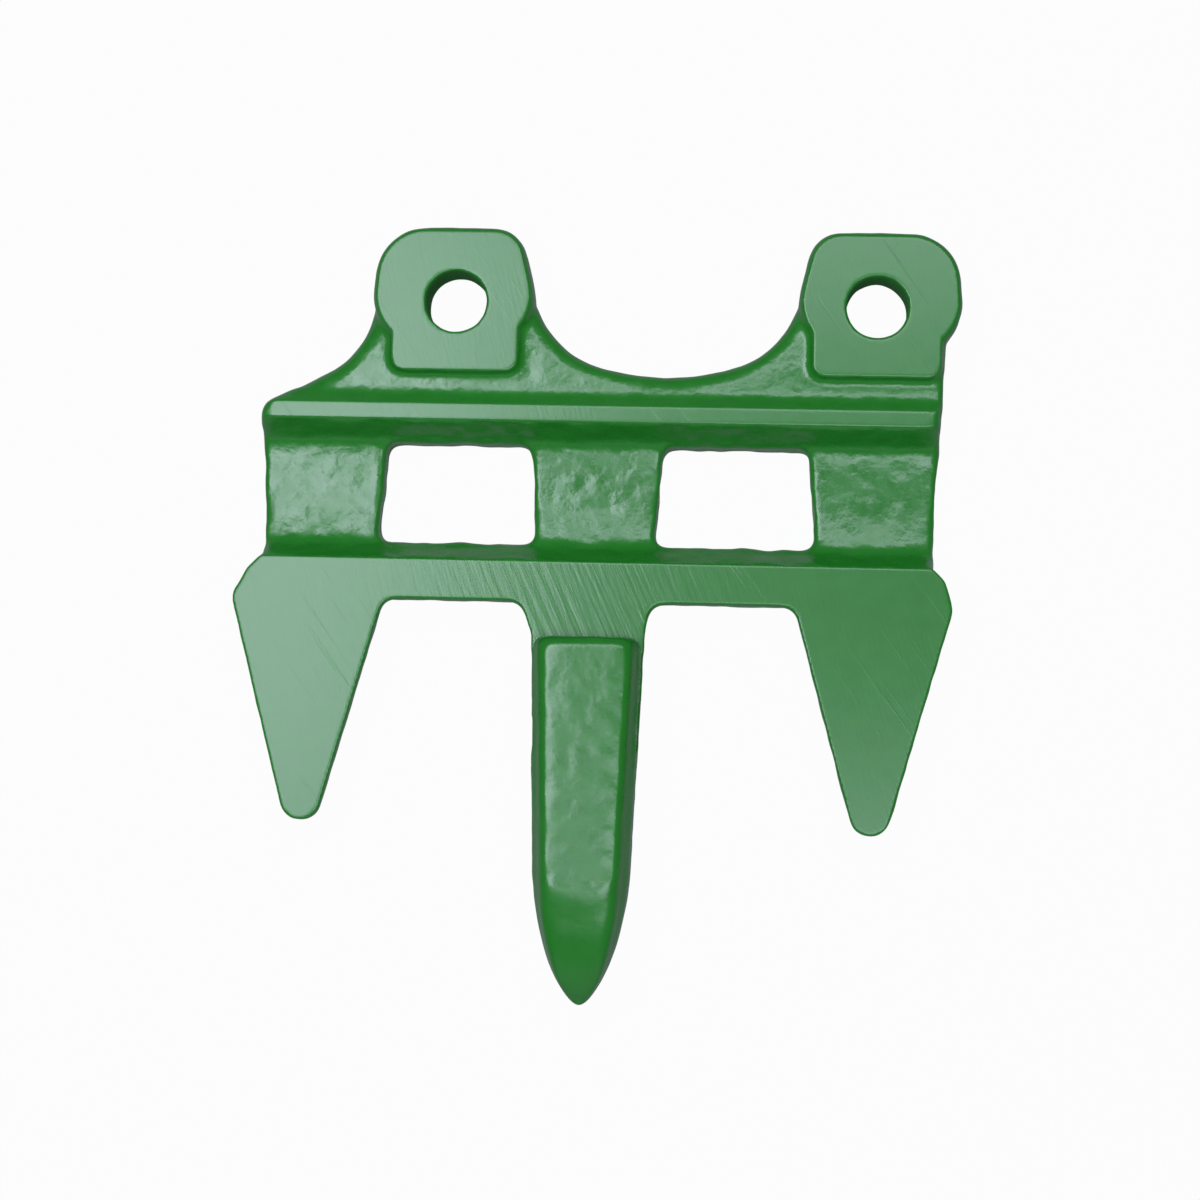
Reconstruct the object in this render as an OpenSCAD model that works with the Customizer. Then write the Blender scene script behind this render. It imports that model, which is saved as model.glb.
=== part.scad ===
// Mower knife guard: one drop forging with two bolt lugs, a knife trough with two
// clearing windows, a ground ledger, two short points and one long lipped finger.
// The lugs lie to +Y and the finger points to -Y. Z = 0 is the ground knife plane.
// The origin is midway between the two bolt holes, on that plane.
// Distances named "reach" or "set" run forward from the line through the bolt holes.

/* [Bolt lugs] */
// Distance between the two bolt holes
bolt_spacing = 114.3; // [105:0.1:122]
// Diameter of each bolt hole
bolt_hole_d = 16.6; // [12:0.1:20]
// Width of a lug from its hole to the outer side
lug_outer = 23.1; // [21:0.1:25]
// Width of a lug from its hole to the bay
lug_inner = 22; // [20:0.1:24]
// Lean of a lug's inner side towards its rear end
lug_lean = 13.5; // [8:0.5:18]
// Height of the flat rear end of a lug over the bolt line
lug_end = 20.7; // [19:0.1:22]
// Round of a lug's outer corners
lug_outer_r = 14; // [9:0.5:16]
// Round of a lug's inner corner
lug_inner_r = 9; // [6:0.5:11]
// Thickness from the ground pad to the underside of the lug
lug_t = 13; // [11:0.5:16]
// Height of the ground pad over the forged web
pad_h = 2.5; // [1.5:0.1:4]
// Edge radius of a lug, ground away on top
lug_edge_r = 3; // [2:0.1:4]
// Width of the square foot of a pad
pad_foot_w = 34.8; // [30:0.1:38]
// Reach of the square foot of a pad
pad_foot_reach = 19.2; // [16:0.1:21]
// Corner radius of the square foot of a pad
pad_corner_r = 3.5; // [2:0.1:5]
// Slope run of the pad's wall down to the web
pad_draft = 0.5; // [0.2:0.1:1.5]

/* [Rear web] */
// Reach of the bottom of the bay between the lugs
bay_reach = 19.1; // [16:0.1:22]
// Corner radius of the bay between the lugs
bay_r = 26; // [20:0.5:28]
// Radius of the bowed bottom of the bay
bay_floor_r = 60; // [40:1:80]
// Radius where the left lug runs out into the flank
flank_r = 24; // [20:0.5:27]
// Angle of the left flank to the bolt line
flank_angle = 27; // [22:1:32]
// Round where the left flank meets the body's side
flank_corner_r = 4; // [1:0.5:6]
// Edge radius of the bay
web_edge_r = 4; // [2:0.1:4.5]
// Edge radius of the left flank
flank_edge_r = 4.5; // [2:0.1:5]

/* [Knife trough] */
// Half width of the body on the left of the finger axis
left_half_w = 91.6; // [86:0.1:95]
// Half width of the body on the right of the finger axis
right_half_w = 94.3; // [92:0.1:96]
// How much each side of the body comes in from the ridge to the ledger
side_taper = 1.9; // [0:0.1:3]
// Side draft of the body at its top and bottom edges
side_draft = 1.6; // [0.5:0.1:3]
// Set of the rear edge of the ridge's ground top
ridge_set = 28; // [26:0.1:31]
// Width of the ridge's ground top
ridge_w = 4.8; // [3:0.1:8]
// Opening of the trough from the ridge to the ledger
trough_w = 37.7; // [32:0.1:44]
// Depth of the trough below the knife plane
trough_d = 9.5; // [7:0.1:11]
// Slope run of each trough wall
trough_run = 4.6; // [2:0.1:6]
// Fillet along the foot of each trough wall
trough_fillet = 4; // [1:0.5:5]
// Rise of the trough floor from its middle to each wall
floor_bow = 1.2; // [0.2:0.1:1.8]
// Thickness of the trough floor in its middle
floor_t = 6.5; // [5:0.1:9]
// Round along the lower edges of the trough's belly
belly_r = 4; // [2:0.5:6]

/* [Windows] */
// Distance of a window's rear inner corner from the finger axis
window_inner = 18.2; // [16.5:0.1:22]
// Distance of a window's rear outer corner from the finger axis
window_outer = 57.8; // [50:0.1:64]
// How far both windows stand to the right of the finger axis
window_shift = 1; // [0:0.1:2]
// How much each side of a window spreads towards the front
window_flare = 2; // [0:0.1:3]
// Rim of floor left between a window and the foot of the trough wall
window_rim = 0.6; // [0.4:0.1:3]
// Corner radius of a window
window_r = 3; // [1.5:0.1:5]

/* [Ledger and short points] */
// Distance between neighbouring points
point_pitch = 76.2; // [70:0.1:82]
// Width of the ledger from the trough to the front notches
ledger_w = 11.1; // [8:0.1:15]
// Thickness of the ledger at its front edge
ledger_t = 9; // [8:0.1:11]
// Length of a short point in front of the ledger
stub_l = 60.4; // [50:0.1:68]
// Half angle of a short point
stub_angle = 15.4; // [13:0.1:17]
// Tip radius of a short point
stub_tip_r = 5.6; // [4:0.1:7]
// How much wider the right short point is than the left one
stub_spread = 0.7; // [0:0.1:1.5]
// Thickness of a short point at its tip
stub_tip_t = 6.5; // [5:0.1:8]
// Height of the straight cutting edge over the relieved side
land_t = 3.5; // [2.5:0.1:4.5]
// Relief of a short point's side at the underside
stub_relief = 1.1; // [0.5:0.1:2]
// Fillet in the rear corners of the front notches
notch_r = 4.5; // [3:0.1:7]
// Round of the ledger's outer corners
corner_r = 5; // [3:0.1:6]
// How far the ledger's ends stand out beside the body
wing_w = 3.6; // [2:0.1:5]

/* [Finger] */
// Length of the finger in front of the ledger
finger_l = 107.8; // [95:0.1:120]
// Width of the finger at the rear end of the lip
finger_root_w = 30.8; // [28:0.1:34]
// How much the finger's left side spreads from the lip to the ledger
left_flare = 2.8; // [0.5:0.1:3.5]
// How much the finger's right side spreads from the lip to the ledger
right_flare = 0.7; // [0:0.1:1.5]
// How far the finger stands to the right of its axis
finger_shift = 0.3; // [0:0.1:0.8]
// Width of the finger where the nose begins
finger_nose_w = 26.4; // [24:0.1:29]
// Length of the rounded nose seen from above
nose_l = 41.4; // [34:0.1:48]
// Set of the lip's rear end in front of the ledger
lip_set = 9.4; // [7:0.1:14]
// Height of the lip's crest over the knife plane
lip_top = 11.4; // [10.5:0.1:13]
// Round along the lip's rear edge
lip_edge_r = 3.5; // [2:0.1:4]
// Round of the lip's rear corners seen from above
lip_corner_r = 3; // [1:0.1:4]
// Width of the ledger that shows beside the lip at its rear end
lip_ledge = 0.7; // [0.3:0.1:1.2]
// Height of the knife slot under the lip
slot_h = 4.6; // [4.4:0.1:5.2]
// Length of the knife slot under the lip
slot_l = 31; // [24:0.1:36]
// Depth of the keel under the root of the finger
keel_root = 14.5; // [12:0.1:16]
// Depth of the keel where the nose begins
keel_nose = 11; // [9:0.1:13]

/* [Hidden] */
$fn = 96;
enamel = [0.18, 0.48, 0.21];
// Metal that the grinding takes off, and reach of a cut past the metal
stock = 1;
clear = 20;
// How far one forged form runs into the next, and the step that keeps two faces apart
lap = 3;
skin = 0.2;
// Steps of the bowed floor, a fillet, an edge round and a half ring
floor_steps = 6;
fillet_steps = 8;
edge_steps = 4;
ring_steps = 6;

right_bolt_x = point_pitch;
left_bolt_x = point_pitch - bolt_spacing;
bolt_mid_x = (left_bolt_x + right_bolt_x) / 2;
web_top = -pad_h;
web_bottom = -lug_t;
// Reach of a lug's forging in front of its hole, and the lean of its outer side
lug_foot = 12.5;
lug_side = 4;
// Height of a lug's forging over the knife plane, which the grinding takes off
lug_crown = 0.8;
// Lean of the bay's sides, and fall of its bottom towards the middle
bay_side = 20;
bay_fall = 14;
// Height of the flank arc's centre over the bolt line
flank_lift = 1.8;

ridge_front = ridge_set + ridge_w;
// Run of the ridge's rear slope for each millimetre of height
ridge_slope = 1.2;
// Round under the front edge of the ledger
ledger_round = 2;
ridge_foot = ridge_set - ridge_slope * pad_h;
ledger_rear = ridge_front + trough_w;
ledger_front = ledger_rear + ledger_w;
floor_top = -trough_d;
floor_bottom = -trough_d - floor_t;
wall_slope = trough_run / (trough_d - floor_bow);
window_rear = ridge_front + trough_run + window_rim;
window_front = ledger_rear - trough_run - window_rim;

stub_tip = ledger_front + stub_l;
stub_apex = stub_tip + stub_tip_r / sin(stub_angle) - stub_tip_r;
stub_root = ledger_rear + ledger_w / 2;

finger_tip = ledger_front + finger_l;
nose_start = finger_tip - nose_l;
lip_rear = ledger_front + lip_set;
slot_end = lip_rear + slot_l;
// How far the flat crest runs on into the nose
crest_run = 0.3;
crest_end = nose_start + crest_run * nose_l;
// Heights of the finger's widest line and of its tip
girth_z = -1.5;
tip_z = -3;
// How full the nose is from above and from the side: 0.5 is an ellipse
nose_power = 0.68;
crest_power = 0.6;
// Shares of the half width or the height in the finger's cross section
wall_lean = 0.145;
crest_share = 0.68;
shoulder_share = 0.264;
// Share of the ledge that is left beside the lip in front of the slot
ledge_end = 0.15;
// Heights of the slot's floor and roof as shares of the finger's wall
wall_h = (1 - shoulder_share) * (lip_top - girth_z);
shelf_share = (skin - girth_z) / wall_h;
roof_share = (slot_h + skin - girth_z) / wall_h;
bilge_share = 0.9;
bilge_drop = 0.45;
keel_share = 0.35;
// Edge round of the finger where it is ground flat with the ledger
ground_edge = 0.4;
// Rings along the straight finger and along the nose
finger_rings = 8;
nose_rings = 18;
// Share of the nose's length where its last small ring stands
nose_share = 0.998;
// Steps of the flank's arc and of a short point's tip
arc_steps = 12;

// Points along an arc
function arc(c, r, a0, a1, n) =
    [for (i = [0:n]) let (a = a0 + (a1 - a0) * i / n) c + r * [cos(a), sin(a)]];

// Share of the shorter side at a corner that its round may take up
round_share = 0.95;

// Corner q between p and s, rounded with the radius in q[2], as far as its sides reach
function corner(p, q, s) =
    let (v = [q[0], q[1]],
         u1 = [p[0], p[1]] - v,
         u2 = [s[0], s[1]] - v,
         e1 = u1 / norm(u1),
         e2 = u2 / norm(u2),
         half = acos(e1 * e2) / 2,
         r = min(q[2], round_share * min(norm(u1), norm(u2)) * tan(half)),
         c = v + (e1 + e2) / norm(e1 + e2) * r / sin(half),
         d1 = v + e1 * r / tan(half) - c,
         d2 = v + e2 * r / tan(half) - c,
         a1 = atan2(d1[1], d1[0]),
         sweep = (atan2(d2[1], d2[0]) - a1 + 540) % 360 - 180)
    q[2] == 0 ? [v] : arc(c, r, a1, a1 + sweep, fillet_steps);

// Outline through [x, y, radius] corners
function outline(pts) =
    let (n = len(pts))
    [for (i = [0:n - 1]) each corner(pts[(i + n - 1) % n], pts[i], pts[(i + 1) % n])];

// Solid through rings of equal length, each anticlockwise about the way they go
module loft(rings) {
    n = len(rings);
    m = len(rings[0]);
    sides = [for (i = [0:n - 2], j = [0:m - 1]) let (k = (j + 1) % m)
        each [[i * m + j, (i + 1) * m + j, (i + 1) * m + k], [i * m + j, (i + 1) * m + k, i * m + k]]];
    caps = [[for (j = [0:m - 1]) j], [for (j = [m - 1:-1:0]) (n - 1) * m + j]];
    polyhedron([for (ring = rings) each ring], concat(caps, sides));
}

// Flat outline lifted to a height
function at_height(pts, z) = [for (p = pts) [p[0], p[1], z]];

// Heights and insets of a plate's edge, round at the bottom and at the top
function edge_levels(low, high, r) = concat(
    [for (i = [0:edge_steps]) let (a = 90 * i / edge_steps) [low + r * (1 - cos(a)), r * (1 - sin(a))]],
    [for (i = [edge_steps:-1:0]) let (a = 90 * i / edge_steps) [high - r * (1 - cos(a)), r * (1 - sin(a))]]);

// Lug about its hole, with the bay to +X on hand 1 and to -X on hand -1
function lug_outline(inset, hand) =
    let (lean = tan(lug_lean),
         flare = tan(lug_side),
         inner = lug_inner - inset / cos(lug_lean),
         outer = lug_outer - inset,
         end = lug_end - inset,
         low = lug_foot - inset,
         pts = outline([[-outer - flare * low, -low, lug_outer_r - inset],
                        [inner + lean * low, -low, lug_outer_r - inset],
                        [inner - lean * end, end, lug_inner_r - inset],
                        [-outer + flare * end, end, lug_outer_r - inset]]),
         n = len(pts))
    hand > 0 ? pts : [for (i = [n - 1:-1:0]) [-pts[i][0], pts[i][1]]];

module lug(hand) {
    loft([for (l = edge_levels(web_bottom, lug_crown, lug_edge_r))
        at_height(lug_outline(l[1], hand), l[0])]);
}

// Square foot of a ground pad, with steep walls down to the web
module pad_foot() {
    foot = pad_foot_w / 2;
    foot_spread = pad_draft / pad_h;
    loft([for (z = [web_top - stock, stock]) let (d = -z * foot_spread)
        at_height(outline([[-foot - d, 0, 0],
                           [-foot - d, -pad_foot_reach - d, pad_corner_r],
                           [foot + d, -pad_foot_reach - d, pad_corner_r],
                           [foot + d, 0, 0]]), z)]);
}

// Levels of a cutter that leaves a round edge on a web: outset 0 at mid height
function cutter_levels(r) = concat(
    [[web_bottom - clear, r]], edge_levels(web_bottom, web_top, r), [[web_top + clear, r]]);

// Bay between the lugs: its sides take over from the lugs, its bottom is bowed
function bay_outline(out) =
    let (side = tan(bay_side),
         fall = tan(bay_fall),
         half = bolt_spacing / 2 - lug_inner - lap * tan(lug_lean) + out / cos(bay_side),
         low = -bay_reach - bay_floor_r * (1 / cos(bay_fall) - 1) - out / cos(bay_fall),
         corner_x = (half + side * (lap + low)) / (1 - side * fall),
         corner_y = low + fall * corner_x,
         top_x = half + side * (lap + clear))
    outline([[bolt_mid_x - corner_x, corner_y, bay_r + out],
             [bolt_mid_x, low, bay_floor_r + out],
             [bolt_mid_x + corner_x, corner_y, bay_r + out],
             [bolt_mid_x + top_x, clear, 0],
             [bolt_mid_x - top_x, clear, 0]]);

// Left flank: centre of the arc beside the left lug, and where the arc turns straight
flank_c = [left_bolt_x - lug_outer + skin - flank_r, flank_lift];
function flank_turn(out) = flank_c + (flank_r + out) * [sin(flank_angle), -cos(flank_angle)];

// Space beside the left flank: the arc, then a straight run
function flank_outline(out) =
    let (r = flank_r + out,
         run = flank_turn(out) - 2 * left_half_w * [cos(flank_angle), sin(flank_angle)])
    concat([run], arc(flank_c, r, flank_angle - 90, 0, arc_steps),
           [flank_c + [r, r]], [[run[0], flank_c[1] + r]]);

// Plate between the lugs and the ridge, with the bay and the flank taken out
module rear_web() {
    far = ridge_front;
    difference() {
        translate([0, 0, web_bottom])
            linear_extrude(lug_t - pad_h)
                polygon([[-left_half_w + lap, -far],
                         [side_x(right_half_w, far) - skin, -far],
                         [side_x(right_half_w, 0) - skin, 0],
                         [left_bolt_x - lug_outer - stock, 0],
                         [-left_half_w + lap, -ridge_foot]]);
        loft([for (l = cutter_levels(web_edge_r)) at_height(bay_outline(l[1]), l[0])]);
        loft([for (l = cutter_levels(flank_edge_r)) at_height(flank_outline(l[1]), l[0])]);
    }
}

// Floor of the trough as [Y, Z, radius]: bowed, with a fillet at each end
function trough_floor() =
    let (rear = -ridge_front - trough_run,
         front = -ledger_rear + trough_run)
    [for (i = [0:floor_steps]) let (t = i / floor_steps)
        [rear + (front - rear) * t,
         floor_top + floor_bow * pow(2 * t - 1, 2),
         i % floor_steps == 0 ? trough_fillet : 0]];

// Side view of ridge, trough and ledger as [Y, Z], with the grinding stock on top
function trough_section() = outline([
    [-ridge_foot + ridge_slope, web_bottom + stock, 0],
    [-ridge_foot + ridge_slope, web_top - stock, 0],
    [-ridge_set - ridge_slope * stock, stock, 0],
    [-ridge_front + wall_slope * stock, stock, 0],
    each trough_floor(),
    [-ledger_rear - wall_slope * stock, stock, 0],
    [-ledger_front + skin, stock, 0],
    [-ledger_front + skin, -ledger_t, ledger_round],
    [-ledger_rear - ledger_w / 2, floor_bottom, belly_r],
    [-ridge_set - lap, floor_bottom, belly_r]]);

// Half width of the body at reach d
function side_x(half_w, d) = half_w - side_taper * (d - ridge_set) / (ledger_rear - ridge_set);

// Body from above, from the left flank to the ledger
function body_outline(inset) =
    let (front = ledger_front + clear,
         left_x = -left_half_w + inset,
         turn = flank_turn(inset),
         corner_y = turn[1] - tan(flank_angle) * (turn[0] - left_x))
    outline([[inset - side_x(left_half_w, front), -front, 0],
             [side_x(right_half_w, front) - inset, -front, 0],
             [side_x(right_half_w, 0) - inset, 0, 0],
             [turn[0], turn[1], 0],
             [left_x, corner_y, flank_corner_r]]);

// Body: the side view right across, kept inside the outline with drafted sides
module trough() {
    levels = [[floor_bottom - skin, side_draft], [floor_bottom + lap, 0],
              [web_top - lap, 0], [stock + skin, side_draft]];
    intersection() {
        translate([-2 * left_half_w, 0, 0])
            rotate([90, 0, 90])
                linear_extrude(4 * left_half_w)
                    polygon(trough_section());
        loft([for (l = levels) at_height(body_outline(l[1]), l[0])]);
    }
}

// Cutting edge of one side: finger root, notch, short point and the ledger's end
function land_side(body_x, flare, shift, spread) = [
    [finger_half_w(lip_rear) + shift - skin, -lip_rear, 0],
    [finger_half_w(ledger_front) + shift + flare, -ledger_front, notch_r],
    [point_pitch - stub_half_w(ledger_front), -ledger_front, notch_r],
    [point_pitch + spread / 2, -stub_apex, stub_tip_r],
    [point_pitch + stub_half_w(ledger_front) + spread, -ledger_front, corner_r],
    [body_x + wing_w, -ledger_rear - wing_w, corner_r],
    [body_x, -ledger_rear + skin, 0]];

module land() {
    right = land_side(side_x(right_half_w, ledger_rear) - skin, right_flare, finger_shift, stub_spread);
    left = land_side(side_x(left_half_w, ledger_rear) - skin, left_flare, -finger_shift, 0);
    translate([0, 0, -land_t])
        linear_extrude(land_t + 2 * stock)
            polygon(outline(concat(
                right,
                [for (i = [len(left) - 1:-1:0]) [-left[i][0], left[i][1], left[i][2]]])));
}

// Half width of a short point's wedge at reach d
function stub_half_w(d) = (stub_apex - d) * tan(stub_angle);

// Wedge of a short point under its cutting edge, with its round tip, on its own axis
function stub_outline(inset) =
    let (r = stub_tip_r - inset,
         c = -stub_tip + stub_tip_r,
         shoulder = ledger_front + corner_r,
         half = stub_half_w(shoulder) - inset / cos(stub_angle),
         root = half - lap)
    concat([[half, -shoulder]], [[root, -stub_root]], [[-root, -stub_root]], [[-half, -shoulder]],
           arc([0, c], r, 180 + stub_angle, 360 - stub_angle, arc_steps));

function stub_bottom(y) =
    -ledger_t + (ledger_t - stub_tip_t) * (-y - ledger_front) / stub_l;

module stub(side) {
    translate([side * point_pitch + max(0, side) * stub_spread / 2, 0, 0])
        loft([[for (p = stub_outline(stub_relief)) [p[0], p[1], stub_bottom(p[1])]],
              at_height(stub_outline(skin), -land_t),
              at_height(stub_outline(skin), -land_t / 2)]);
}

// Half width of the finger: a straight taper, then the rounded nose
function finger_half_w(d) =
    d < nose_start
        ? (finger_root_w + (finger_nose_w - finger_root_w) * (d - lip_rear) / (nose_start - lip_rear)) / 2
        : finger_nose_w / 2 * pow(1 - pow((d - nose_start) / nose_l, 2), nose_power);

// Top of the finger: grinding stock, the lip's round rear edge, its crest, then the nose
function finger_top(d) =
    d <= lip_rear ? stock + skin
    : d < lip_rear + lip_edge_r
        ? lip_top - lip_edge_r + sqrt(pow(lip_edge_r, 2) - pow(lip_rear + lip_edge_r - d, 2))
    : d < crest_end ? lip_top
    : tip_z + (lip_top - tip_z) * pow(1 - pow((d - crest_end) / (finger_tip - crest_end), 2), crest_power);

// Underside of the finger: a straight keel, then the nose
function finger_keel(d) =
    d < nose_start
        ? -keel_root + (keel_root - keel_nose) * (d - ledger_front) / (nose_start - ledger_front)
        : tip_z - (keel_nose + tip_z) * pow(1 - pow((d - nose_start) / nose_l, 2), crest_power);

// How far the lip's round rear corners come in at reach d
function corner_inset(d) =
    lip_corner_r - sqrt(pow(lip_corner_r, 2) - pow(max(0, lip_corner_r + lip_rear - d), 2));

// Share of the half width by which the lip's lower edge stands in from the ledger
function ledge_share(d) =
    lip_ledge / (finger_root_w / 2) * max(ledge_end, 1 - (d - lip_rear) / slot_l);

// Cross section of the finger at reach d: keel, widest line, slot walls, sloped lip, round shoulder
function finger_ring(d) =
    let (w = finger_half_w(d),
         top = finger_top(d),
         keel = finger_keel(d),
         lipped = d > lip_rear,
         waist = girth_z + (tip_z - girth_z) * max(0, (d - nose_start) / nose_l),
         rise = (top - waist) / (lip_top - waist),
         roof_w = lipped ? w * (1 - ledge_share(d)) - corner_inset(d) : w,
         wall_w = lipped ? w * (1 - wall_lean * rise) - corner_inset(d) : w - ground_edge / 4,
         crest_w = lipped ? wall_w * crest_share : w - ground_edge,
         wall_z = lipped ? top - shoulder_share * (top - waist) : top - ground_edge,
         side_w = bilge_share * w,
         side_z = waist - bilge_drop * (waist - keel),
         keel_w = keel_share * w,
         right = concat(
             [for (i = [0:ring_steps]) let (a = 90 * i / ring_steps)
                 [keel_w + (side_w - keel_w) * sin(a), -d, side_z - (side_z - keel) * cos(a)]],
             [[w, -d, waist]],
             [[w, -d, waist + shelf_share * (wall_z - waist)]],
             [[roof_w, -d, waist + roof_share * (wall_z - waist)]],
             [for (i = [0:ring_steps]) let (a = 90 * i / ring_steps)
                 [crest_w + (wall_w - crest_w) * cos(a), -d, wall_z + (top - wall_z) * sin(a)]]),
         n = len(right))
    concat(right, [for (i = [n - 1:-1:0]) [-right[i][0], right[i][1], right[i][2]]]);

module finger() {
    reach = concat(
        [ledger_rear + lap, lip_rear - skin / 2],
        [for (i = [0:ring_steps]) lip_rear + skin / 2 + lip_edge_r * (1 - cos(90 * i / ring_steps))],
        [for (i = [1:finger_rings])
            lip_rear + lip_edge_r + (nose_start - lip_rear - lip_edge_r) * i / finger_rings],
        [for (i = [1:nose_rings]) nose_start + nose_l * nose_share * sin(90 * i / nose_rings)]);
    loft([for (d = reach) finger_ring(d)]);
}

// What is cut from the forging: ground faces, bolt holes, windows and the knife slot
module ground_faces() {
    wide = 3 * point_pitch;
    translate([-wide / 2, -lip_rear, 0])
        cube([wide, lip_rear + lug_end + clear, lip_top + clear]);
    for (side = [-1, 1])
        translate([side * point_pitch - point_pitch / 2, -stub_tip - clear, 0])
            cube([point_pitch, stub_l + 2 * clear, lip_top + clear]);
}

module bolt_holes() {
    for (x = [left_bolt_x, right_bolt_x])
        translate([x, 0, -lug_t - clear])
            cylinder(d = bolt_hole_d, h = lug_t + 2 * clear);
}

module windows() {
    for (side = [0, 1])
        translate([window_shift, 0, floor_bottom - clear])
            mirror([side, 0, 0])
                linear_extrude(floor_t + 2 * clear)
                    polygon(outline([
                        [window_inner, -window_rear, window_r],
                        [window_inner - window_flare, -window_front, window_r],
                        [window_outer + window_flare, -window_front, window_r],
                        [window_outer, -window_rear, window_r]]));
}

// The knife sections swing through this slot, round at its front end
module knife_slot() {
    translate([-finger_root_w, 0, 0])
        rotate([90, 0, 90])
            linear_extrude(2 * finger_root_w) {
                translate([-slot_end + slot_h / 2, 0])
                    square([slot_l, slot_h]);
                translate([-slot_end + slot_h / 2, slot_h / 2])
                    circle(d = slot_h);
            }
}

module knife_guard() {
    color(enamel)
        translate([-bolt_mid_x, 0, 0])
            difference() {
                union() {
                    rear_web();
                    for (hand = [1, -1])
                        translate([hand > 0 ? left_bolt_x : right_bolt_x, 0, 0]) {
                            lug(hand);
                            pad_foot();
                        }
                    trough();
                    land();
                    for (side = [-1, 1]) stub(side);
                    translate([finger_shift, 0, 0]) finger();
                }
                ground_faces();
                bolt_holes();
                windows();
                knife_slot();
            }
}

knife_guard();
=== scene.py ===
import math

import bmesh
import bpy
import numpy as np
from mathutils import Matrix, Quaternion, Vector, noise


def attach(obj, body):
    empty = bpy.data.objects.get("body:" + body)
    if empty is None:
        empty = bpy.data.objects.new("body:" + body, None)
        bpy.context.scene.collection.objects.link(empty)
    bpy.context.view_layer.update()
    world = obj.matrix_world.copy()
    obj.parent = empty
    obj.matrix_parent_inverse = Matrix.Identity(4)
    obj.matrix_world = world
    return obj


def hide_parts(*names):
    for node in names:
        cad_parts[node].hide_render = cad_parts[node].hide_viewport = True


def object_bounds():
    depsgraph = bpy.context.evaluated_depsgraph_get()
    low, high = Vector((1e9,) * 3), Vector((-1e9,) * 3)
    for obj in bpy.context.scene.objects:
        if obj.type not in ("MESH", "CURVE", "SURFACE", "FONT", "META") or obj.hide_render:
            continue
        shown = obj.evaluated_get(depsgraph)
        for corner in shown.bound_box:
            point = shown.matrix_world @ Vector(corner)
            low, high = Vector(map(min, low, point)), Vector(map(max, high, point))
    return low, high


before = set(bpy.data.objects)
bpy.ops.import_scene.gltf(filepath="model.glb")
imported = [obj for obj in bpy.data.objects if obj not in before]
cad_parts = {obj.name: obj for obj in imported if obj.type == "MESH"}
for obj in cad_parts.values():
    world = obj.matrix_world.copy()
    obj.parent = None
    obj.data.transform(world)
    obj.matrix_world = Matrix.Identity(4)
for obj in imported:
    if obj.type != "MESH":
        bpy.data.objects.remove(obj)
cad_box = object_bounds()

# Knife guard
# One drop forging in steel: bolt lugs, knife trough, ledger, short points and a lipped finger.
# Its flash is trimmed hot, its bearing faces are ground flat, and it is dipped in green enamel.

mm = 0.001

# An even grid over the solid, so that the rounds and the forged skin have points to work with
grid_size = 0.5 * mm
weld_distance = 0.001 * mm
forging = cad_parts["knife_guard"].data.copy()
solid = bmesh.new()
solid.from_mesh(forging)
bmesh.ops.remove_doubles(solid, verts=solid.verts, dist=weld_distance)
solid.to_mesh(forging)
solid.free()
guard = bpy.data.objects.new("enamelled_guard", forging)
bpy.context.scene.collection.objects.link(guard)


def shaped(kind, **settings):
    """Runs one modifier on the guard and keeps what it makes as the guard's mesh."""
    step = guard.modifiers.new(kind, kind)
    for name, value in settings.items():
        setattr(step, name, value)
    graph = bpy.context.evaluated_depsgraph_get()
    mesh = bpy.data.meshes.new_from_object(guard.evaluated_get(graph))
    guard.modifiers.remove(step)
    guard.data = mesh
    return mesh


def read(mesh):
    """Places and normals of the mesh's points."""
    places = np.empty((len(mesh.vertices), 3), np.float32)
    mesh.vertices.foreach_get("co", places.ravel())
    facing = np.empty_like(places)
    mesh.vertex_normals.foreach_get("vector", facing.ravel())
    return places, facing


skin = shaped("REMESH", mode="VOXEL", voxel_size=grid_size, use_smooth_shade=True)
points, facing = read(skin)
edges = np.empty((len(skin.edges), 2), np.int32)
skin.edges.foreach_get("vertices", edges.ravel())
start, end = np.concatenate([edges, edges[:, ::-1]]).T
degree = np.bincount(start)


def neighbour_mean(values):
    """Mean of a value over the points next to each point."""
    return np.bincount(start, values[end]) / degree


def soften(share, passes):
    """Moves each point a share of the way to the middle of its neighbours."""
    for _ in range(passes):
        for axis in range(3):
            points[:, axis] += share * (neighbour_mean(points[:, axis]) - points[:, axis])


# Ground faces: pads, ridge and ledger lie in the knife plane, Z = 0
ground_depth = 0.3 * mm
ground_facing = 0.8
ground = (np.abs(points[:, 2]) < ground_depth) & (facing[:, 2] > ground_facing)

# The ends of the ridge keep the round of the die, since the wheel runs out there
ridge_front = -33 * mm
ridge_rear = -27.8 * mm
end_length = 2 * mm
on_ridge = ground & (points[:, 1] > ridge_front) & (points[:, 1] < ridge_rear)
left_end, right_end = points[on_ridge, 0].min(), points[on_ridge, 0].max()
at_end = (points[:, 0] < left_end + end_length) | (points[:, 0] > right_end - end_length)

# Tightness is 1 on a ground face and fades over a few points of the grid past its edges
fade_points = 5
fade_share = 0.9
tight = (ground & ~(on_ridge & at_end)).astype(float)
for _ in range(fade_points):
    tight = np.maximum(tight, fade_share * neighbour_mean(tight))

# The knife slot under the lip is milled, so its edges stay tight too
finger_x = -19.05 * mm
slot_half = 18 * mm
slot_front = -126 * mm
slot_rear = -86 * mm
slot_top = 6 * mm
slot_tightness = 0.85
beside_slot = (points[:, 1] > slot_front) & (points[:, 1] < slot_rear) & (points[:, 2] < slot_top)
beside_slot &= (points[:, 2] > -ground_depth) & (np.abs(points[:, 0] - finger_x) < slot_half)
tight = np.maximum(tight, slot_tightness * beside_slot)

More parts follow.
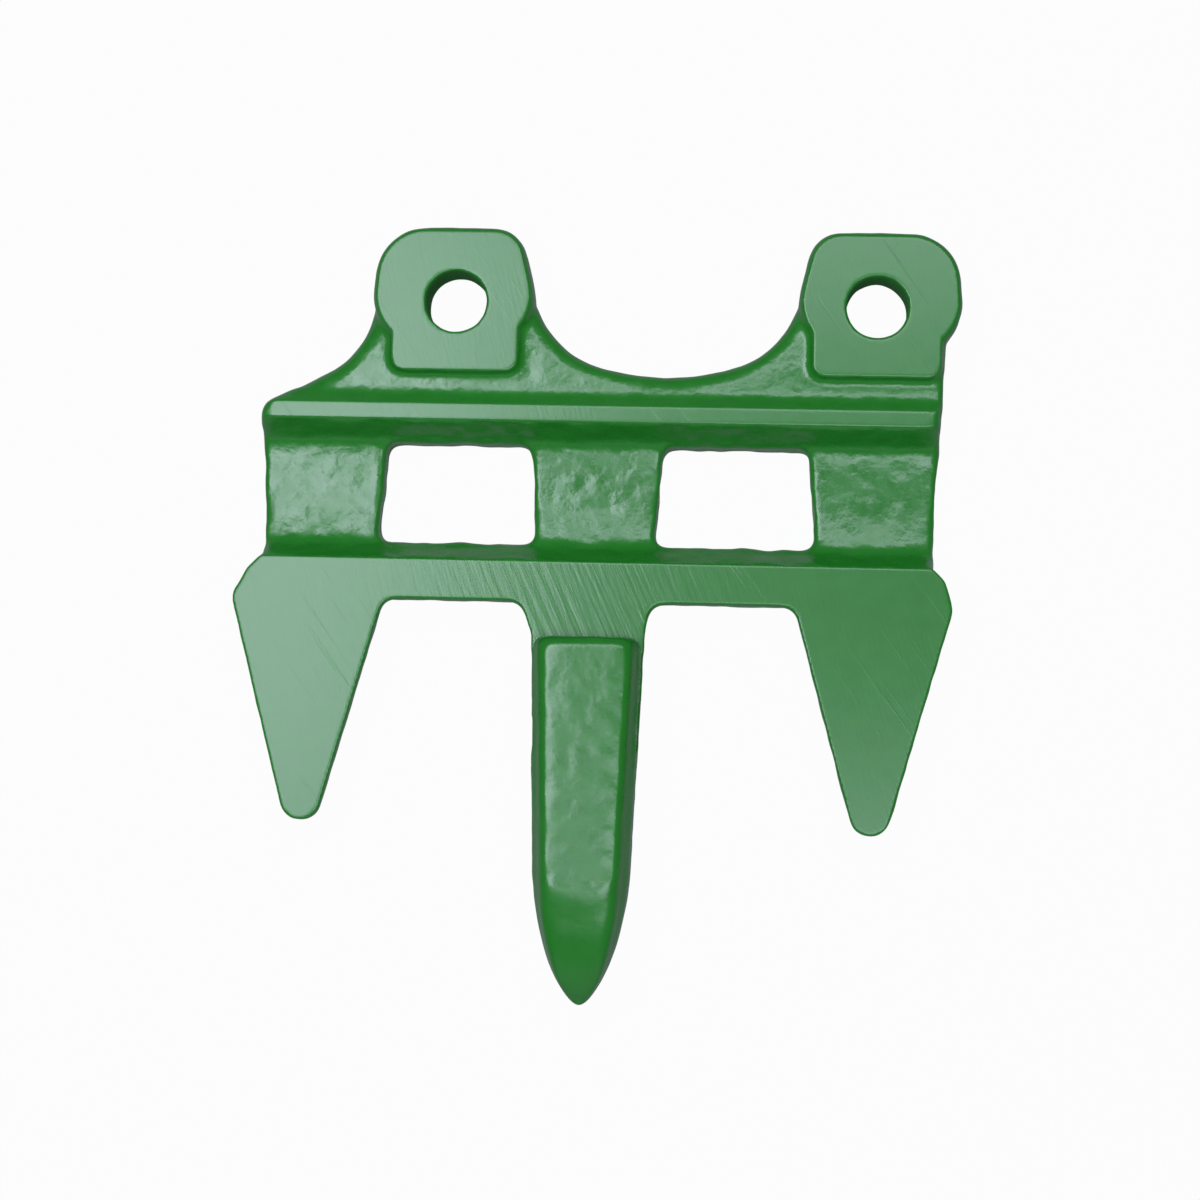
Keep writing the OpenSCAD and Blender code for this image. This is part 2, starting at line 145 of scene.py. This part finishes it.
# Edges: a wheel leaves them tight, the die leaves them round, and the coat rounds them all a little
grid_share = 0.5
grid_passes = 3
die_share = 0.5
die_passes = 20
coat_share = 0.4
coat_passes = 2
inner_share = 0.99
inner_ground = neighbour_mean(ground.astype(float)) > inner_share
soften(grid_share, grid_passes)
points[inner_ground, 2] = 0
soften(die_share * (1 - tight), die_passes)
soften(coat_share, coat_passes)

# The crest of the lip is dished between soft rims, round at the front where the nose falls away
crest_z = 10.9 * mm
flat_facing = 0.9
half_crest = 10 * mm
dish_depth = 0.2 * mm
dish_front = -158 * mm
dish_round = 3 * mm
rim_passes = 16
brow_drop = 0.8 * mm
brow_run = 9 * mm
front_edge = dish_front + dish_round * ((points[:, 0] - finger_x) / half_crest) ** 2
crest = (points[:, 2] > crest_z) & (facing[:, 2] > flat_facing)
dish = (crest & (points[:, 1] > front_edge)).astype(float)
for _ in range(rim_passes):
    dish = neighbour_mean(dish)
points[:, 2] -= dish_depth * np.clip(2 * dish - 1, 0, 1)
on_nose = np.clip((front_edge - points[:, 1]) / brow_run, 0, 1) * np.clip(facing[:, 2], 0, 1)
points[:, 2] -= brow_drop * on_nose * on_nose * (3 - 2 * on_nose) * (points[:, 2] > 0)


def lumps(size, seed):
    """Smooth noise from -1 to 1 with lumps of a given size."""
    return np.array([noise.noise(Vector(p)) for p in points / size + seed])


# Forged skin: scale and die wear leave soft lumps, and the trimmed edges waver, most in the trough.
# The heights of lumps and waver are in millimetres.
ledger_y = -70.5 * mm
lump_size = 4 * mm
lump_seed = 3.1
trough_lump = 0.2
outer_lump = 0.14
nose_lump = 0.03
waver_size = 7 * mm
waver_seed = 17.3
face_waver = 0.06
wall_waver = 0.5
outer_share = 0.25
skin.vertices.foreach_set("co", points.ravel())
skin.update()
facing = read(skin)[1]
upright = 1 - np.abs(facing[:, 2])
in_trough = (points[:, 1] > ledger_y) & (points[:, 1] < ridge_front)
waver = (face_waver + wall_waver * upright) * np.where(in_trough, 1.0, outer_share)
lumpy = np.where(in_trough, trough_lump, outer_lump)
lumpy[points[:, 1] < dish_front] = nose_lump
rise = lumpy * mm * lumps(lump_size, lump_seed) + waver * mm * lumps(waver_size, waver_seed)
points += facing * (rise * (1 - tight))[:, None]
points[:, 2] = np.maximum(points[:, 2], cad_box[0].z)
skin.vertices.foreach_set("co", points.ravel())
skin.update()

# The fine grid is needed along the tight edges and on the ground faces, and is thinned elsewhere
triangle_count = 190000
forged_limit = 0.5
forged_weight = 1000
forged = guard.vertex_groups.new(name="forged")
forged.add(np.flatnonzero(tight < forged_limit).tolist(), 1.0, "REPLACE")
skin = shaped("DECIMATE", ratio=triangle_count / (2 * len(skin.polygons)),
              vertex_group=forged.name, vertex_group_factor=forged_weight)
guard.vertex_groups.clear()

# Where the coat lies on a ground face, on the deep streaks that the wheel left round the root of
# the finger, on pitted scale, which grinding takes off, and on the drilled steel of a bolt hole
level_depth = 0.1 * mm
streak_reach = 36 * mm
ground_loss = 0.92
crest_loss = 0.5
nose_pits = 0.3
bolt_x = 57.15 * mm
bore_r = 8.9 * mm
bore_top = -0.5 * mm
points, facing = read(skin)
flat = facing[:, 2] > flat_facing
ground = flat & (np.abs(points[:, 2]) < level_depth)
streaked = ground * (points[:, 1] < ledger_y)
streaked = streaked * np.exp(-((points[:, 0] - finger_x) / streak_reach) ** 2)
pitted = 1 - ground_loss * ground - crest_loss * (flat & (points[:, 2] > crest_z))
pitted = np.where(points[:, 1] < dish_front, nose_pits, pitted)
bored = np.hypot(np.abs(points[:, 0]) - bolt_x, points[:, 1]) < bore_r
bored &= points[:, 2] < bore_top
layers = {"ground": ground, "streaked": streaked, "pitted": pitted, "bored": bored}
for name, values in layers.items():
    layer = skin.attributes.new(name, "FLOAT", "POINT")
    layer.data.foreach_set("value", values.astype(np.float32))


# Green enamel: a dipped and baked coat, glossy and a little uneven. It is thin enough to show
# the lumps of the forging and the lines of the wheel, and its edges catch a pale line of light.
def linear(colour):
    """Linear colour of an sRGB hex value."""
    parts = [int(colour[i:i + 2], 16) / 255 for i in (1, 3, 5)]
    return [c / 12.92 if c <= 0.04045 else ((c + 0.055) / 1.055) ** 2.4 for c in parts] + [1.0]


def add(tree, kind, inputs, **settings):
    """Adds a node with its settings, its input values and its links."""
    node = tree.nodes.new(kind)
    for name, value in settings.items():
        setattr(node, name, value)
    for key, value in inputs.items():
        if isinstance(value, bpy.types.NodeSocket):
            tree.links.new(value, node.inputs[key])
        else:
            node.inputs[key].default_value = value
    return node


enamel = bpy.data.materials.new("green_enamel")
enamel.use_nodes = True
tree = enamel.node_tree
shader = tree.nodes["Principled BSDF"]
shader.inputs["IOR"].default_value = 1.58
place = add(tree, "ShaderNodeTexCoord", {}).outputs["Object"]
on_ground = add(tree, "ShaderNodeAttribute", {}, attribute_name="ground").outputs["Fac"]
on_streaks = add(tree, "ShaderNodeAttribute", {}, attribute_name="streaked").outputs["Fac"]
on_pits = add(tree, "ShaderNodeAttribute", {}, attribute_name="pitted").outputs["Fac"]
in_bore = add(tree, "ShaderNodeAttribute", {}, attribute_name="bored").outputs["Fac"]

# Coat thickness varies over a few millimetres and shifts the green a little
coat_size = 6 * mm
coat = add(tree, "ShaderNodeTexNoise", {"Vector": place, "Scale": 1 / coat_size, "Detail": 3.0})
green = add(tree, "ShaderNodeMix",
            {"Factor": coat.outputs["Fac"], "A": linear("#1c771f"), "B": linear("#238226")},
            data_type="RGBA")
tree.links.new(green.outputs["Result"], shader.inputs["Base Color"])

# The ground faces are an even satin, and the forged skin goes from glossy to dull in patches
patch_size = 6 * mm
satin_roughness = 0.28
glossy_roughness = 0.22
dull_roughness = 0.34
patches = add(tree, "ShaderNodeTexNoise", {"Vector": place, "Scale": 1 / patch_size, "Detail": 5.0})
dull = add(tree, "ShaderNodeMapRange",
           {"Value": patches.outputs["Fac"], "From Min": 0.3, "From Max": 0.75,
            "To Min": glossy_roughness, "To Max": dull_roughness})
gloss = add(tree, "ShaderNodeMix",
            {"Factor": on_pits, "A": satin_roughness, "B": dull.outputs["Result"]})

# The coat is dull over the drilled steel in the bolt holes
bore_roughness = 0.9
dulled = add(tree, "ShaderNodeMix",
             {"Factor": in_bore, "A": gloss.outputs["Result"], "B": bore_roughness})
tree.links.new(dulled.outputs["Result"], shader.inputs["Roughness"])

# Pitted scale shows through the coat on the forged skin, under a fine peel of the coat itself
scale_size = 4.5 * mm
scale_depth = 0.2 * mm
peel_size = 1.5 * mm
peel_depth = 0.08 * mm
scale = add(tree, "ShaderNodeTexNoise", {"Vector": place, "Scale": 1 / scale_size, "Detail": 1.0})
scaled = add(tree, "ShaderNodeBump",
             {"Strength": on_pits, "Distance": scale_depth, "Height": scale.outputs["Fac"]})
peel = add(tree, "ShaderNodeTexNoise", {"Vector": place, "Scale": 1 / peel_size, "Detail": 1.0})
skinned = add(tree, "ShaderNodeBump",
              {"Strength": on_pits, "Distance": peel_depth, "Height": peel.outputs["Fac"],
               "Normal": scaled.outputs["Normal"]})

# Marks of the wheel under the coat: deep streaks by the finger, fine satin lines on every ground
# face and a few stray scratches. Each has a turn, a width, a length, a depth and a cut-off. Satin
# lines and scratches are really finer, and are drawn as wide as they need to show.
marks = (("streaks", -24.8, 1.5 * mm, 30 * mm, 0.08 * mm, 0.2, on_streaks),
         ("satin", -15.0, 0.7 * mm, 12 * mm, 0.015 * mm, 0.2, on_ground),
         ("scratches", -36.0, 1.1 * mm, 45 * mm, 0.03 * mm, 0.64, on_ground))
normal = skinned.outputs["Normal"]
for name, turn, across, along, depth, cut, share in marks:
    turned = add(tree, "ShaderNodeMapping",
                 {"Vector": place, "Rotation": (0, 0, math.radians(turn))})
    stretched = add(tree, "ShaderNodeMapping",
                    {"Vector": turned.outputs["Vector"], "Scale": (1 / across, 1 / along, 1 / mm)})
    lines = add(tree, "ShaderNodeTexNoise",
                {"Vector": stretched.outputs["Vector"], "Scale": 1.0, "Detail": 2.5})
    cut_off = add(tree, "ShaderNodeMapRange",
                  {"Value": lines.outputs["Fac"], "From Min": cut, "From Max": 0.8}, name=name)
    scored = add(tree, "ShaderNodeBump",
                 {"Strength": share, "Distance": depth, "Height": cut_off.outputs["Result"],
                  "Normal": normal})
    normal = scored.outputs["Normal"]
tree.links.new(normal, shader.inputs["Normal"])

skin.materials.clear()
skin.materials.append(enamel)
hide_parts("knife_guard")
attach(guard, "root")

# Floor
# A sheet of white board under the guard, lit to a clean white with only the soft shadow left.
# It mirrors in the steep walls of the finger and the trough, which turns them grey.
floor_size = 60.0
floor_gap = 0.05 * mm
floor_share = 0.97
mirror_share = 0.07
half = floor_size / 2
floor_z = cad_box[0].z - floor_gap
corners = [(x * half, y * half, floor_z) for x, y in ((-1, -1), (1, -1), (1, 1), (-1, 1))]
floor_mesh = bpy.data.meshes.new("white_board")
floor_mesh.from_pydata(corners, [], [(0, 1, 2, 3)])
floor = bpy.data.objects.new("white_board", floor_mesh)
bpy.context.scene.collection.objects.link(floor)

# White board: matt paper that looks white to the camera and mirrors as a dim grey
board = bpy.data.materials.new("white_board")
board.use_nodes = True
tree = board.node_tree
tree.nodes.clear()
rays = add(tree, "ShaderNodeLightPath", {})
mirrored = add(tree, "ShaderNodeMath",
               {0: rays.outputs["Is Glossy Ray"], 1: mirror_share}, operation="MULTIPLY")
shown = add(tree, "ShaderNodeMath",
            {0: rays.outputs["Is Camera Ray"], 1: floor_share, 2: mirrored.outputs[0]},
            operation="MULTIPLY_ADD")
paper = add(tree, "ShaderNodeBsdfDiffuse", {"Color": linear("#a4a4a4")})
glow = add(tree, "ShaderNodeEmission", {"Color": linear("#ffffff"), "Strength": 1.0})
mixed = add(tree, "ShaderNodeMixShader",
            {0: shown.outputs[0], 1: paper.outputs[0], 2: glow.outputs[0]})
add(tree, "ShaderNodeOutputMaterial", {"Surface": mixed.outputs[0]})
floor_mesh.materials.append(board)

# Light and camera
# Softboxes hang round the camera, the broad one on the left, in a dim room with a pale front wall.
# Flat faces mirror them as a cool sheen, or the gap between them where they look darker.
# Each softbox has a place, a turn in degrees, a size and a radiance.
softbox_white = linear("#e9f0ff")[:3]
softboxes = {"left_softbox": ((-0.25, 0.03, 0.75), (0, 0, -10), (0.26, 0.5), 8.4),
             "rear_softbox": ((0.12, 0.26, 0.75), (0, 0, 0), (0.36, 0.24), 5.6),
             "front_softbox": ((0.135, -0.26, 0.75), (0, 0, 0), (0.33, 0.24), 6.2),
             "front_wall": ((-0.02, -0.75, 0.25), (90, 0, 0), (0.9, 0.5), 0.35)}
for name, (spot, turn, size, radiance) in softboxes.items():
    softbox = bpy.data.lights.new(name, "AREA")
    softbox.shape = "RECTANGLE"
    softbox.color = softbox_white
    softbox.size, softbox.size_y = size
    softbox.energy = math.pi * size[0] * size[1] * radiance
    stand = bpy.data.objects.new(name, softbox)
    stand.location = spot
    stand.rotation_euler = [math.radians(angle) for angle in turn]
    bpy.context.scene.collection.objects.link(stand)

room = bpy.data.worlds.new("room")
room.use_nodes = True
air = room.node_tree.nodes["Background"]
air.inputs["Color"].default_value = linear("#ffffff")
air.inputs["Strength"].default_value = 0.14
bpy.context.scene.world = room
bpy.context.scene.view_settings.view_transform = "Standard"

# The camera looks almost straight down, tilted by a few degrees
camera = bpy.data.cameras.new("camera")
camera.sensor_width = 36
camera.lens = 74.775
camera_degrees = (4.479, 3.308, 1.375)
camera_turn = Vector([math.radians(angle) for angle in camera_degrees])
camera_stand = bpy.data.objects.new("camera", camera)
camera_stand.location = (0.023482, -0.132585, 0.666345)
camera_stand.rotation_mode = "QUATERNION"
camera_stand.rotation_quaternion = Quaternion(camera_turn.normalized(), camera_turn.length)
bpy.context.scene.collection.objects.link(camera_stand)
bpy.context.scene.camera = camera_stand
